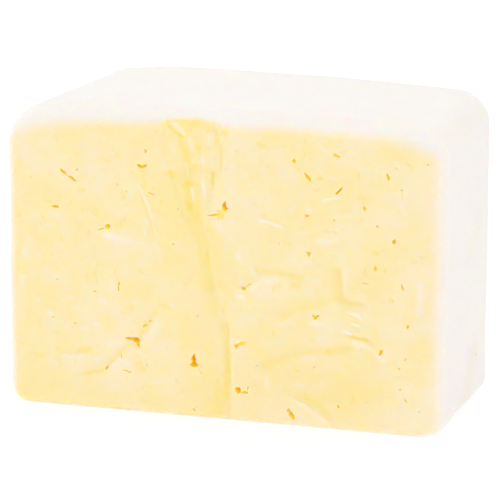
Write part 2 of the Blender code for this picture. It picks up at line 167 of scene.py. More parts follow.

# Soft marks of the cut face that colour alone draws: mostly painted shade and painted highlights, with some
# of the curd's own tone. They are lines too, and their depth is
# how strong they are: above 0 deeper yellow, painted shade as in folds and under steps, and below 0 paler,
# painted highlights on flakes and facets that catch the light.
FACE_TONE_AND_LIGHT_MARKS = (
    # Broad deeper yellow, painted shade, over the torn patch, down the crease and low on the right
    Line(((-8.5, 76), (-7, 66), (-7, 54)), 0.25, 6.5, 7.5),
    Line(((-6, 50), (-4, 38), (-2, 22), (-1, -2)), 0.17, 8.0, 14.0),
    Line(((10, 12), (36, 8)), 0.2, 13.0, 12.0),
    # Torn patch: painted highlights on its flakes
    Line(((-11.8, 72.9), (-10.8, 72), (-9.4, 70.9)), -0.8, 0.7, 0.7),
    Line(((-3.2, 71.2), (-3.3, 68.8)), -0.4, 0.7, 0.7),
    Line(((-7.3, 57.4), (-6.9, 55)), -0.8, 0.7, 0.7),
    Line(((-4.1, 58.6), (-4, 56.8)), -0.45, 0.6, 0.6),
    Line(((-12.2, 67.8), (-11.9, 66.4)), -0.3, 1.2, 1.2),
    Line(((-7.7, 69.4), (-7.5, 66.8)), -0.4, 1.0, 0.9),
    Line(((-8.6, 63.2), (-8.2, 60.4)), -0.5, 0.9, 0.9),
    Line(((-14.6, 63.4), (-13.8, 62)), -0.35, 1.4, 1.4),
    Line(((-4.6, 66.8), (-4.4, 63)), -0.4, 0.9, 0.9),
    Line(((-4.3, 61), (-4.2, 56)), -0.35, 0.9, 0.9),
    Line(((2.6, 74), (2.4, 66), (2.2, 58)), -0.3, 2.4, 1.8),
    # Torn patch: painted shade, deeper yellow, in its tears and along its borders
    Line(((-2, 61.4), (-2, 59.2)), 0.35, 0.7, 0.7),
    Line(((-5.6, 67.6), (-4.6, 66.6)), 0.4, 1.2, 1.2),
    Line(((-12.9, 61.4), (-12.1, 60.4)), 0.35, 1.1, 1.1),
    Line(((0.1, 68), (0.1, 62.2)), 0.4, 0.5, 0.4),
    Line(((-13.5, 73.4), (-3, 73.9)), 0.14, 1.2, 1.8),
    Line(((-13.2, 72.2), (-11.6, 71), (-9.9, 69.9)), 0.5, 0.8, 0.7),
    Line(((-10, 69.4), (-9, 66.4)), 0.12, 0.7, 1.4),
    Line(((-8.6, 66.6), (-8.1, 63.6), (-7.6, 61.6)), 0.2, 0.8, 2.4),
    Line(((-13.6, 61.4), (-11.6, 60.2), (-8.4, 59.6)), 0.2, 1.6, 2.0),
    Line(((-9.4, 58.6), (-7.2, 58.8), (-5.6, 58.8)), 0.22, 0.4, 1.6),
    Line(((-8.6, 58.4), (-8.5, 56)), 0.2, 1.0, 1.0),
    Line(((-8.2, 54), (-7.8, 52.6)), 0.3, 1.1, 1.1),
    Line(((-5.6, 57.6), (-5.5, 55), (-6, 51)), 0.15, 1.1, 1.1),
    Line(((-1.4, 72), (-0.8, 70.2), (-0.9, 68.8)), 0.4, 0.8, 1.1),
    Line(((1.1, 72.2), (1.4, 71)), 0.45, 1.2, 1.2),
    # Crease, with its painted shade, and painted highlights on the curds beside it
    Line(((-7.4, 53), (-6.9, 49), (-5.6, 45), (-4, 39)), 0.08, 1.2, 1.8),
    Line(((-3.4, 42), (-2.9, 38.5)), 0.25, 0.9, 0.9),
    Line(((0, 27.6), (1, 25.4)), -0.5, 0.7, 0.7),
    Line(((1.3, 30.5), (0.9, 27.5)), 0.3, 1.1, 1.1),
    Line(((1.7, 19.5), (1.8, 15.4), (1.7, 10), (1.3, 6)), 0.4, 0.4, 1.6),
    Line(((-0.9, 8), (-0.8, 2)), 0.25, 2.0, 2.0),
    Line(((-1.4, 49.6), (0.4, 48.4)), -0.45, 1.3, 1.3),
    Line(((-12.3, 28.6), (-12.1, 27.8)), -0.5, 0.8, 0.8),
    Line(((-7, 11.5), (-6, 11.4)), -0.4, 1.2, 1.2),
    # Thin ridge left of the crease, with a painted highlight on one side and painted shade on the other
    Line(((-20.8, 57.3), (-19.6, 55), (-18.3, 52.4), (-17.1, 49.4)), -0.65, 0.55, 0.55),
    Line(((-20.6, 55.4), (-19.3, 52.2), (-17.9, 48.8), (-16.9, 45.4)), 0.3, 0.5, 0.5),
    Line(((-16.7, 43.5), (-15.8, 41.1), (-15, 38.7)), -0.45, 0.5, 0.5),
    Line(((-19.8, 60.9), (-19.4, 57.2)), 0.25, 0.9, 0.9),
    Line(((-18.9, 49.2), (-18.6, 48.4)), -0.55, 0.8, 0.8),
    Line(((-19.4, 46.6), (-19, 45.2)), -0.5, 0.8, 0.8),
    # Upper left, and the left end
    Line(((-25.1, 55.6), (-24.6, 53.9)), 0.35, 1.0, 1.0),
    Line(((-26.8, 47.1), (-24.6, 48.4)), 0.2, 1.4, 1.4),
    Line(((-43.8, 48.8), (-42, 48.7)), -0.5, 1.5, 1.5),
    Line(((-29.2, 44.6), (-26.6, 44.2)), -0.8, 1.4, 1.8),
    Line(((-25.6, 43.8), (-19, 43)), -0.4, 0.9, 1.5),
    Line(((-51.2, 38.9), (-51, 37.8)), -0.6, 1.2, 1.2),
    Line(((-51.6, 32), (-51.6, 30)), -0.5, 1.4, 1.4),
    Line(((-37.6, 36.9), (-35.6, 36.9)), -0.5, 0.5, 0.5),
    # Lower left: the fold's painted shade, painted highlights on its facets, and the crescent
    Line(((-20.2, 19.9), (-18.6, 20.8), (-17.3, 22.8)), -0.55, 0.6, 3.4),
    Line(((-21.2, 15.8), (-19.3, 14.5), (-18.2, 13.2)), -0.45, 0.9, 0.9),
    Line(((-28.6, 16.9), (-26, 17.2)), -0.55, 1.2, 1.2),
    Line(((-28.4, 11.3), (-26.2, 12.8), (-24, 12.6)), -0.5, 1.3, 1.3),
    Line(((-34.8, 8.6), (-30.5, 9.8), (-27.6, 12.9), (-24.5, 16.2)), 0.35, 1.2, 0.5),
    Line(((-21, 20), (-19.4, 23), (-16.5, 26.6)), 0.3, 0.5, 1.6),
    Line(((-32.6, 21.8), (-31.8, 21.6)), -0.9, 0.9, 0.9),
    Line(((-36.4, 20.2), (-34.6, 20.4)), -0.6, 0.6, 0.6),
    Line(((-31.3, 28), (-29.6, 27.2)), -0.5, 1.0, 1.0),
    Line(((-44.9, 23.6), (-44.1, 23.7)), -0.9, 0.8, 0.8),
    Line(((-40, 28.3), (-38, 27.9)), -0.6, 0.7, 0.7),
    Line(((-48.2, 26.9), (-47, 26.3)), -0.5, 0.8, 0.8),
    Line(((-37, 14.4), (-35.4, 14.9), (-34, 15.2)), 0.45, 1.6, 1.6),
    Line(((-40.6, 13.0), (-38.6, 12.7), (-36, 13.6)), -0.6, 1.0, 1.0),
    # Upper right, with painted highlights on two flakes, and the right end
    Line(((21.4, 54.4), (22.4, 54.3)), -0.8, 0.9, 0.9),
    Line(((24.3, 47), (27.6, 47.1)), -0.6, 1.0, 1.0),
    Line(((26.8, 62.3), (28.6, 62.2)), -0.5, 0.5, 0.5),
    Line(((9.8, 51.1), (12.5, 50.6), (15.5, 49.5)), -0.9, 0.6, 0.6),
    Line(((25.8, 57), (27.8, 57.6), (29.7, 57.9)), -0.8, 0.6, 0.6),
    Line(((49.3, 38), (49.1, 31)), -0.6, 1.5, 1.5),
    Line(((44.6, 58.6), (45.4, 54.6)), -0.35, 1.2, 1.2),
    Line(((21.6, 41.6), (22.7, 41.5)), -0.5, 1.3, 1.3),
    # Arch right of the middle
    Line(((4.6, 42.2), (4.6, 41.4)), -0.8, 1.3, 1.3),
    Line(((7.9, 39.4), (8.5, 37.6)), -0.5, 1.1, 1.1),
    Line(((8.2, 33.6), (9.3, 35.2), (10.9, 36.1), (13.8, 36.5)), -0.55, 1.2, 1.4),
    Line(((4.4, 31.9), (5.6, 31.7)), -0.9, 1.3, 1.3),
    Line(((22.4, 37.1), (24.6, 37)), -0.4, 1.5, 1.5),
    Line(((18.2, 35.9), (19.4, 35.4)), 0.35, 1.3, 1.3),
    Line(((8.6, 39.2), (11.9, 38.6), (16.2, 38.4), (20, 37.6)), 0.28, 1.5, 1.5),
    # Lower right: painted shade under its steps and ridges, and painted highlights on its flakes
    Line(((22.7, 26.5), (25.6, 26.4)), -0.6, 1.2, 1.2),
    Line(((17.3, 26.6), (18.8, 25.9)), -0.45, 1.2, 1.2),
    Line(((31.2, 39.8), (31.3, 37.2)), -0.5, 1.3, 0.9),
    Line(((11.6, 12.2), (11.5, 9.8)), -0.5, 0.8, 0.8),
    Line(((19.2, 10.8), (20.2, 10.6)), -0.5, 0.9, 0.9),
    Line(((39.4, 19.1), (40.9, 18.6)), -0.5, 1.2, 1.2),
    Line(((14.3, 21.4), (15.9, 21.2)), -0.4, 0.9, 0.9),
    Line(((33.6, 22.4), (36.9, 21.8)), -0.5, 1.1, 1.4),
    Line(((20.8, 17.6), (23.4, 18)), -0.35, 1.1, 1.1),
    Line(((15.6, 27.9), (17, 27.4)), 0.25, 1.8, 1.8),
    Line(((27, 20.1), (29, 20.6), (32.4, 21.2)), 0.32, 0.8, 2.4),
    Line(((11, 14.8), (16, 17), (22, 18.9), (26, 19.8)), 0.16, 2.4, 2.0),
    Line(((21, 7.2), (22.8, 6.6), (24.8, 5.2), (26, 3.8)), 0.34, 2.6, 0.4),
    Line(((18.6, 6.6), (21, 5.9), (23.3, 4.4), (25.6, 2.4)), -0.3, 0.4, 1.4),
    Line(((32.1, 29.9), (33.6, 29.5), (35.1, 28.7)), -0.9, 0.6, 0.6),
    Line(((32.6, 27.3), (34.6, 26.7)), -0.8, 0.6, 0.6),
    Line(((30.9, 25.4), (32.5, 24.6)), -1.0, 0.7, 0.7),
    Line(((29.9, 39), (29.9, 35.6), (30.2, 33.8)), 0.22, 0.25, 3.4),
    Line(((30.4, 32.9), (32.2, 32.4), (34.8, 32.3)), 0.3, 0.7, 1.6),
    Line(((17, 28.4), (20.4, 30), (25.3, 31.4), (28.8, 33)), 0.2, 2.4, 1.2),
    Line(((32.3, 24.3), (34, 23.8), (36.6, 23.6)), 0.6, 0.5, 1.0),
)

# Soft dents of the right-hand skin: place along Y and Z, radius and depth in mm
SIDE_DENTS = (
    (8, 44, 8, 0.5),
    (1, 15, 9, 0.7),
    (-8, 2, 6, 0.9),
)

# Painted shade of the right-hand skin, warmer and darker in and around its dents and pits, as lines through
# (y, z) points in mm, drawn by colour
SIDE_DENT_SHADE_MARKS = (
    Line(((8.6, 47), (6, 43.6), (-1, 39)), 0.6, 6.0, 8.0),
    Line(((9, 12.6), (5.6, 9), (2, 4)), 0.8, 7.0, 7.0),
    Line(((8.4, 12.6), (11, 12.3)), 0.6, 1.4, 1.4),
    Line(((-13, 52), (-12.4, 51.4)), 0.3, 1.4, 1.4),
    Line(((-10, 18), (-2, 6)), 0.25, 8.0, 6.0),
)

# Openings of the cut face. An opening lies at (x, z), turned by tilt degrees from the
# level, and a positive taper narrows its far end. All lengths are in mm.
Opening = namedtuple("Opening", "x z length width tilt depth taper")
OPENINGS = (
    # Slit at the upper left, in two steps, with a dot beside it and a short slit below
    Opening(-40.4, 59.3, 2.6, 0.92, -36, 1.0, 0.2),
    Opening(-38.2, 58.0, 2.9, 0.86, -28, 1.0, 0),
    Opening(-36.9, 60.2, 1.0, 0.69, 20, 0.5, 0),
    Opening(-42.7, 50.6, 2.4, 0.92, -4, 1.0, 0),
    # Opening with a tail to its lower left
    Opening(-28.9, 46.7, 1.8, 1.26, -24, 1.1, 0),
    Opening(-30.6, 46.0, 2.2, 0.46, 18, 0.6, -0.3),
    # Heart, the dot above it and the short cut below it
    Opening(-20.6, 62.1, 1.7, 1.16, -40, 1.2, 0),
    Opening(-19.4, 62.2, 1.6, 1.16, 38, 1.2, 0),
    Opening(-19.1, 65.9, 1.1, 0.8, -68, 0.7, 0),
    Opening(-17.6, 55.6, 2.2, 0.57, -16, 0.6, 0.3),
    # Angle opening right of the crease: deep at its top, pale below, with a thin arm
    Opening(1.0, 54.0, 2.3, 1.26, 78, 1.6, 0.2),
    Opening(1.3, 53.2, 1.5, 1.26, 20, 1.4, 0),
    Opening(0.35, 52.0, 3.3, 2.6, 62, 0.3, 0),
    Opening(-1.6, 51.5, 3.4, 0.8, 10, 0.8, -0.3),
    # Upper right
    Opening(18.3, 65.9, 1.3, 1.03, 90, 0.8, 0.2),
    Opening(21.6, 62.3, 3.0, 0.8, -51, 1.0, -0.3),
    Opening(28.7, 67.8, 2.2, 0.8, -20, 0.7, 0),
    Opening(29.5, 59.5, 2.8, 0.8, 51, 1.0, 0.3),
    Opening(41.2, 63.6, 2.2, 0.92, -70, 0.9, -0.3),
    Opening(35.6, 55.6, 1.5, 0.8, -74, 0.8, 0),
    Opening(21.6, 52.9, 1.3, 0.92, -10, 0.7, 0.2),
    Opening(42.9, 48.0, 1.6, 1.15, 76, 1.0, 0.3),
    # Two small ones, one above the other, left of the middle
    Opening(-26.1, 32.5, 1.6, 0.69, 70, 0.7, 0),
    Opening(-26.2, 31.3, 1.4, 0.57, 92, 0.7, 0),
    # Wedge in the fold at the lower left: a thin tail, a body and a tip that points down
    Opening(-23.4, 18.9, 3.2, 1.01, -2, 1.2, -0.2),
    Opening(-22.0, 18.5, 2.4, 1.75, -38, 1.6, 0),
    Opening(-21.4, 17.6, 2.0, 1.1, -62, 1.3, 0.35),
    # Small ones in the fold, on both sides of the wedge
    Opening(-19.6, 22.5, 1.5, 0.92, 40, 0.8, 0),
    Opening(-18.2, 23.8, 1.2, 0.57, 50, 0.6, 0),
    Opening(-29.7, 10.8, 1.4, 0.8, 40, 0.8, 0),
    # Bell: a narrow top that flares to a wide foot, and the hair beside it
    Opening(-7.0, 15.1, 3.0, 1.3, 88, 2.0, 0.3),
    Opening(-6.9, 14.0, 2.2, 1.8, 88, 1.9, 0.5),
    Opening(-6.9, 13.5, 2.7, 1.12, 3, 1.3, 0),
    Opening(-5.3, 12.1, 1.7, 0.29, -54, 0.4, 0),
    # Two pairs, under the arch and beside the crease
    Opening(5.9, 34.0, 1.3, 1.15, 30, 0.9, 0),
    Opening(7.2, 34.9, 2.0, 0.52, 40, 0.6, 0.2),
    Opening(3.9, 19.3, 1.3, 1.12, 80, 1.1, 0),
    Opening(5.2, 20.0, 2.6, 1.26, 24, 0.6, 0),
    # Hook low right of the crease
    Opening(4.3, 8.2, 2.1, 1.96, -30, 1.4, 0),
    Opening(5.9, 7.7, 2.3, 0.84, 2, 0.9, 0),
    Opening(6.7, 8.7, 1.7, 0.52, 72, 0.5, 0),
    # Right of the middle: a short T and three small ones
    Opening(22.1, 43.9, 1.7, 0.57, -4, 0.7, 0),
    Opening(22.1, 43.6, 1.4, 0.92, 90, 0.9, 0.2),
    Opening(38.4, 41.2, 1.6, 0.92, 90, 0.8, 0.1),
    Opening(36.1, 37.4, 1.8, 0.34, -6, 0.4, 0),
    Opening(45.0, 37.0, 1.9, 0.69, -73, 0.7, 0),
    # Small V
    Opening(23.4, 28.3, 1.5, 0.7, -50, 0.9, 0),
    Opening(24.2, 28.3, 1.6, 0.7, 52, 0.9, 0),
    Opening(23.8, 27.9, 1.1, 0.91, 0, 1.0, 0),
    # Lower right
    Opening(46.4, 27.5, 1.2, 0.8, 90, 0.7, 0),
    Opening(39.9, 20.6, 1.9, 1.03, 62, 1.1, -0.3),
    Opening(46.0, 9.1, 1.5, 0.46, -55, 0.5, 0),
    Opening(29.4, 6.2, 1.2, 0.69, 90, 0.8, 0),
    Opening(16.9, 4.2, 1.1, 0.98, 80, 0.9, 0),
    Opening(17.7, 2.9, 2.8, 1.5, -62, 1.2, -0.2),
    # Lower left: a tick at the foot, and hairs under the fold
    Opening(-7.1, 2.1, 1.2, 0.69, -34, 0.7, 0),
    Opening(-6.7, 2.8, 0.9, 0.4, 60, 0.5, 0),
    Opening(-25.8, 14.5, 2.0, 0.32, 95, 0.5, 0),
    Opening(-24.6, 10.6, 1.8, 0.46, -12, 0.5, 0),
    Opening(-23.6, 10.3, 1.0, 0.57, 20, 0.5, 0),
)

# Openings longer than this, in mm, are cut with a finer lens than the others
LARGE_OPENING = 2.4
LARGE_ROUNDS = 3
SMALL_ROUNDS = 2

# Share of the openings' depths that they are given here, where painted shade in the walls' colour deepens
# them
OPENING_DEPTH = 0.65

# An opening's ragged outline. Slow noise swells and bends the lens along its length, by
# shares of its half width, and starts elsewhere for each opening, and its points scatter.
RAGGEDNESS = 0.2
SWELLING = 2.2 * RAGGEDNESS
SWELL_RATE = 2.3
SWELL_STEP = 3.1
BENDING = 1.6 * RAGGEDNESS
BEND_RATE = 1.6
BEND_ROW = 0.5
BEND_STEP = 7.7
SCATTER = 0.6
POINTEDNESS = 0.25

# Edges that turn by more than this stay sharp
RIM_ANGLE = math.radians(42)

# Place of the openings' walls among the block's materials, after the cheese itself
HOLLOW_SLOT = 1

# Pinholes of the cut face, as (x, z) in mm, and their usual width. Each is drawn wider or
# narrower within the spread, and its length and depth are shares of the width it then has.
PINHOLES = (
    (-49, 57.5), (-16.4, 70.9), (-5.3, 64.8), (-17.8, 55.7), (-26.4, 57.3), (-24, 55.7),
    (-10.7, 52.5), (-24.3, 49.1), (-18.5, 43.8), (-11.9, 43.6), (43.2, 65.7), (39, 61.6),
    (44.5, 60.5), (28.3, 52.3), (38.8, 51.5), (14.8, 45.7), (50.7, 67), (11, 56.6),
    (-43.4, 38.6), (-42.4, 32.4), (-32.5, 30.2), (-43.5, 22.7), (-37.7, 21.6), (-19.2, 12.6),
    (-5.8, 26.1), (-23.5, 2.3), (-32.1, 16.5), (35.7, 37.4), (37.2, 22.9), (44.4, 17),
    (45.9, 19.4), (23.4, 15.6), (9.2, 14.7), (13.1, 2.2), (36.2, 7.9), (40.6, 9.3),
    (49.4, 6.6), (44.7, 11.9),
)
PINHOLE_WIDTH = 0.55
PINHOLE_SPREAD = (0.7, 1.5)
PINHOLE_STRETCH = (1, 1.6)
PINHOLE_DEPTH = 0.5

# Pits of the right-hand skin, as openings at (y, z)
SIDE_PITS = (
    Opening(-10.3, 19.6, 0.7, 0.4, 40, 0.3, 0),
    Opening(9.9, 12.2, 2.4, 0.4, 4, 0.4, 0),
    Opening(7.3, 18.3, 0.8, 0.3, 60, 0.15, 0),
    Opening(-13.1, 30.3, 0.8, 0.35, 20, 0.15, 0),
    Opening(-12.7, 52.1, 0.8, 0.35, 30, 0.15, 0),
)

# Upper border of the cut face, where the yellow gives way to the skin and its partly painted highlight, as
# (x, z, fade) in
# mm: the fade is the width over which it does. Then its left, right and lower borders.
CUT_TOP = (
    (-56, 66, 4.5), (-52, 69.2, 4.5), (-41.4, 71.2, 5), (-31, 72, 4), (-20.9, 72.6, 3.2), (-16, 73, 2.4),
    (-13.9, 74, 1.4), (-5.7, 74.6, 1.4), (-1.6, 73.8, 1.6), (1, 73, 2.6), (14.4, 73.2, 3.4), (29, 73, 3.6),
    (38.8, 72.5, 5), (43.7, 71.6, 6), (48.6, 70.3, 6), (52.4, 69, 5), (56, 65.6, 5),
)
CUT_LEFT = (-54.1, 2.6)
CUT_RIGHT = (53.1, 5.0)
CUT_BOTTOM = (0.2, 1.2)

# Colours of the skin, partly its own drier colour and partly painted highlight where the lit skin washes out
# to white: its two mottled tones, its painted shade on the right and that in its dents
SKIN = (0.86, 0.83, 0.795, 1)
SKIN_WARM = (0.855, 0.822, 0.775, 1)
SKIN_SIDE_SHADE = (0.838, 0.785, 0.735, 1)
SKIN_DENT_SHADE = (0.84, 0.76, 0.64, 1)

# Colours of the cut face: its two mottled tones, a deeper yellow for its pits and for painted shade in its
# folds, and a pale one for its flecks and for painted highlights
CUT_PALE = (0.952, 0.793, 0.545, 1)
CUT_MIDDLE = (0.952, 0.776, 0.41, 1)
CUT_DEEP_AND_SHADE = (0.952, 0.725, 0.15, 1)
FLAKE_AND_HIGHLIGHT = (0.95, 0.825, 0.74, 1)

# Colours of the openings' walls from the rim inwards, turning to painted shade as they go deeper, and of the
# painted glow that stands in for light coming through the cheese
HOLLOW_RIM = (0.98, 0.745, 0.38, 1)
HOLLOW_MIDDLE_SHADE = (1.0, 0.775, 0.11, 1)
HOLLOW_DEEP_SHADE = (1.0, 0.51, 0.002, 1)
HOLLOW_PAINTED_GLOW = (1.0, 0.5, 0.02, 1)

# How far red, green and blue light go into the cheese, as shares of the scale
FLESH_RADII = (1.0, 0.6, 0.25)
FLESH_SCALE = 1.6 * MM
FLESH_IOR = 1.42

# The curd's patterns: waves for each metre, finer layers and how rough these are. Flecks
# are read from places that FLECK_TURN and FLECK_WAVES have turned and scaled already.
DRIFT_NOISE = (120.0, 2.0, 0.5)
BROAD_NOISE = (60.0, 2.0, 0.5)
GRAIN_NOISE = (200.0, 3.0, 0.6)
CRUMB_NOISE = (1500.0, 4.0, 0.65)
PIT_NOISE = (430.0, 1.0, 0.5)
FLECK_NOISE = (1.0, 2.0, 0.5)
FLECK_TURN = (0, math.radians(24), 0)
FLECK_WAVES = (260, 400, 640)

# How far the patterns are bent, the shares of the tone, and where flecks and pits start and
# are full
DRIFT = 6 * MM
BROAD_SHARE = 0.45
GRAIN_SHARE = 0.55
FLECK_RANGE = (0.60, 0.72)
PIT_RANGE = (0.66, 0.76)

# How much of a colour each pattern or kept value gives. A range says where the colour
# starts and where it is full, and two more numbers are its shares there.
PALE_RANGE = (0.38, 0.62)
FLECK_SHARE = 0.36
PIT_SHARE = 0.34
# Painted shade where the cut face is sunk, and a painted highlight where it stands out
SUNK_SHADE_RANGE = (0.03, 0.6, 0, 0.42)
RAISED_HIGHLIGHT_RANGE = (-0.05, -0.4, 0, 0.4)
# Painted shade and painted highlights of the face marks, with some of the curd's own tone
DEEPER_TONE_AND_SHADE_RANGE = (0.0, 0.8)
PALER_TONE_AND_HIGHLIGHT_RANGE = (0.0, -1.0)
# Painted shade: how far the right-hand skin turns darker than the top
SIDE_SHADE_SHARE = 0.5
# Painted shade in the dents and pits of the right-hand skin
DENT_SHADE_RANGE = (0.0, 0.8, 0, 0.5)

# Depths in mm over which an opening's wall leaves its rim's colour, and reaches its deepest painted shade
RIM_RANGE = (0.04, 0.3)
DEEP_SHADE_RANGE = (0.42, 1.05)

# Gloss and fine relief of the cheese: the crumb's range and the roughness over it, the
# heights of the patterns, and the relief's strength on the skin and on the cut face
CRUMB_RANGE = (0.3, 0.7)
ROUGHNESS_RANGE = (0.36, 0.54)
CRUMB_RELIEF = 0.35
TONE_RELIEF = 1.4
PIT_RELIEF = 0.5
BUMP_RANGE = (0.07, 0.28)
BUMP_HEIGHT = 0.4 * MM

# Gloss, painted glow and fine relief of the openings' walls
HOLLOW_ROUGHNESS = 0.5
HOLLOW_SHINE = 0.2
HOLLOW_PAINTED_GLOW_POWER = 0.06
HOLLOW_BUMP = 0.4
HOLLOW_BUMP_HEIGHT = 0.3 * MM

# The photograph's camera: its lens length is in pixels of the 500-pixel frame
FRAME_WIDTH = 500
LENS_PIXELS = 2700
SENSOR_WIDTH = 36
NEAREST_VIEW = 10 * MM
AZIMUTH = math.radians(18.13)
ELEVATION = math.radians(13.67)
DISTANCE = 672.7 * MM
AIM_HEIGHT = 37.5 * MM
AIM_RIGHT = -0.73 * MM
AIM_UP = -0.32 * MM

# The light table that the block lies on, in metres, and the studio's light
WHITE = (1, 1, 1, 1)
FLOOR_SIZE = 6
FLOOR_GREY = (0.5, 0.5, 0.5, 1)
FLOOR_GLOW = 0.56
FLOOR_ROUGHNESS = 0.9
SURROUND_POWER = 1.03
KEY_PLACE = (-0.5, -0.5, 1.0)
KEY_AIM = (0, 0, 0.04)
KEY_SIZE = 0.6
KEY_POWER = 1.15


def fade(share):
    """1 at a share of 0, easing down to 0 at a share of 1 and past it."""
    share = np.clip(share, 0, 1)
    return 1 - share * share * (3 - 2 * share)


def deselect_all():
    if bpy.context.object and bpy.context.object.mode != "OBJECT":
        bpy.ops.object.mode_set(mode="OBJECT")
    bpy.ops.object.select_all(action="DESELECT")


def select_only(piece):
    deselect_all()
    piece.select_set(True)
    bpy.context.view_layer.objects.active = piece


def read_points(mesh):
    points = np.empty(len(mesh.vertices) * 3)
    mesh.vertices.foreach_get("co", points)
    return points.reshape(-1, 3)


def write_points(mesh, points):
    mesh.vertices.foreach_set("co", points.ravel())
    mesh.update()


def add_point_values(mesh, name, values):
    """Keeps one value for each point of the mesh, for the materials to read."""
    layer = mesh.attributes.new(name, "FLOAT", "POINT")
    layer.data.foreach_set("value", np.asarray(values, dtype=np.float32))


# The square blank

def clear_selection(mesh):
    for items in (mesh.vertices, mesh.edges, mesh.polygons):
        items.foreach_set("select", np.zeros(len(items), dtype=bool))


def select_edges_along(mesh, axis):
    """Selects the edges of the blank that run along one axis, and nothing else."""
    pairs = np.empty(len(mesh.edges) * 2, dtype=np.int32)
    mesh.edges.foreach_get("vertices", pairs)
    ends = read_points(mesh)[pairs.reshape(-1, 2)]
    run = np.abs(ends[:, 0] - ends[:, 1])
    clear_selection(mesh)
    mesh.edges.foreach_set("select", run[:, axis] > run.sum(axis=1) * ALONG)
    bpy.context.tool_settings.mesh_select_mode = (False, True, False)


def select_front_faces(mesh, reach):
    """Selects the faces of the blank's front and of the first reach behind it."""
    centres = np.empty(len(mesh.polygons) * 3)
    mesh.polygons.foreach_get("center", centres)
    clear_selection(mesh)
    mesh.polygons.foreach_set("select", centres.reshape(-1, 3)[:, 1] < reach - HALF[1])
    bpy.context.tool_settings.mesh_select_mode = (False, False, True)


def subdivide_selected(cuts):
    bpy.ops.object.mode_set(mode="EDIT")
    bpy.ops.mesh.subdivide(number_cuts=cuts)
    bpy.ops.object.mode_set(mode="OBJECT")


def crowd_rows(mesh):
    """Draws the blank's even rows closer together towards its edges."""
    points = read_points(mesh)
    turn = ROW_CROWDING * math.pi / 2
    write_points(mesh, HALF * np.sin(points / HALF * turn) / math.sin(turn))


def cut_blank():
    """A cube at the block's size, cut into rows, with finer ones on its front."""
    deselect_all()
    bpy.ops.mesh.primitive_cube_add(size=1, location=(0, 0, 0))
    block = bpy.context.object
    block.name = "cheese"
    block.scale = (LENGTH, DEPTH, HEIGHT)
    bpy.ops.object.transform_apply(location=False, rotation=False, scale=True)
    for axis, count in enumerate(ROW_COUNTS):
        select_edges_along(block.data, axis)
        subdivide_selected(count - 1)
    crowd_rows(block.data)
    select_front_faces(block.data, FINE_REACH)
    subdivide_selected(FRONT_CUTS)
    return block


# The block's form

def mix_corners(values, share):
    """Blends the values of the eight corners at shares of -1 to 1 along X, Y and Z."""
    total = 0
    for corner, value in values.items():
        weight = np.prod((1 + np.array(corner) * share) / 2, axis=1)
        total = total + weight[:, None] * np.array(value)
    return total * MM


def rim_radius(share, up):
    """Rounding of the front or back rim, where the outline there faces up by that much."""
    along_top = 1 - RIM_LOSS * np.abs(share[:, 0]) ** RIM_LOSS_POWER
    front = FRONT_RIM + (FRONT_RIM_TOP - FRONT_RIM) * np.maximum(up, 0) * along_top
    return np.where(share[:, 1] > 0, BACK_RIM, front)


def round_blank(points):
    """Where the points of the square blank lie once all its edges are rounded."""
    share = points / HALF
    sign = np.where(points < 0, -1.0, 1.0)
    strip = np.maximum((np.abs(points) - HALF) / STRIP + 1, 0)
    radius = mix_corners(OUTLINE_RADIUS, share)
    # The outline seen from the front: a point beyond the straight stretches follows an arc
    outward = np.maximum(strip[:, 0], strip[:, 2])
    across = np.hypot(strip[:, 0], strip[:, 2])
    inside = across < TINY
    across[inside] = 1
    direction = np.stack([strip[:, 0] / across, strip[:, 2] / across], axis=1)
    direction[inside] = (1, 0)
    mean_radius = (radius * direction ** 2).sum(axis=1)
    rim = np.minimum(rim_radius(share, direction[:, 1] * sign[:, 2]), mean_radius)
    # The rim: from the front or back over the edge to the side, on a quarter circle
    inset = mean_radius * (1 - outward)
    over_edge = np.maximum(1 - inset / rim, 0)
    length = np.maximum(np.hypot(over_edge, strip[:, 1]), TINY)
    on_rim = (over_edge > 0) & (strip[:, 1] > 0)
    inset = np.where(on_rim, rim * (1 - over_edge / length), inset)
    behind = np.where(on_rim, rim * (1 - strip[:, 1] / length), 0)
    result = points.copy()
    for column, axis in enumerate((0, 2)):
        inner = np.minimum(np.abs(points[:, axis]), HALF[axis] - STRIP)
        inner *= (HALF[axis] - radius[:, column]) / (HALF[axis] - STRIP)
        reach = radius[:, column] * (1 - inset / mean_radius)
        result[:, axis] = sign[:, axis] * (inner + direction[:, column] * reach)
    edge = sign[:, 1] * (HALF[1] - behind)
    middle = points[:, 1] * (HALF[1] - rim) / (HALF[1] - STRIP)
    result[:, 1] = np.where(strip[:, 1] > 0, edge, middle)
    return result


def swelling(points):
    """Top dome, front bow and slow unevenness, in the blank's own frame."""
    x, y, z = points.T
    slope = LENGTH / 2 + np.copysign(DOME_PEAK, x - DOME_PEAK)
    dome = 1 - np.minimum(np.abs(x - DOME_PEAK) / slope, 1) ** 2
    level = np.maximum(0.5 + z / HEIGHT, 0)
    across = 1 - (2 * x / LENGTH) ** 2
    front = np.maximum(-2 * y / DEPTH, 0)
    lift = TOP_DOME * dome * level ** 2
    forward = FRONT_BOW * across * (1 - (2 * z / HEIGHT) ** 2) * front ** 2
    wander = np.array([noise.noise_vector(Vector(point) / UNEVEN_SPAN) for point in points])
    wander *= UNEVENNESS * np.minimum(level / EVEN_FOOT, 1)[:, None]
    return np.stack([0 * x, -forward, lift], axis=1) + wander


